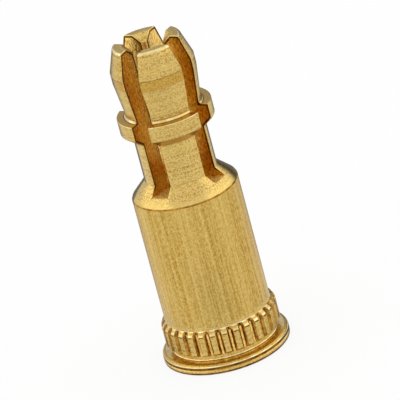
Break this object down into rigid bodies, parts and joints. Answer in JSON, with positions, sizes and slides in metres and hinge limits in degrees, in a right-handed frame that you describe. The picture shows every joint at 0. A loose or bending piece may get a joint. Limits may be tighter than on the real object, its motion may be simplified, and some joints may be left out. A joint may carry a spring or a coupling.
{
  "type": "pcb standoff",
  "caption": "Turned brass circuit-board standoff: a knurled flanged foot broaches into a base board, and slotted barbed spring fingers above a collar snap an upper board in place.",
  "frame": {"origin": "centre of the flange's underside", "axes": "+Z along the axis, from the flange to the snap top; the saw slots run along X and Y"},
  "size_m": [0.0064, 0.0064, 0.0169],
  "materials": {
    "turned_brass": "bare satin brass: fine draw lines on the body, turning marks on the snap top, sawn slots"
  },
  "bodies": {
    "root": {"standoff": "turned_brass"}
  },
  "joints": []
}
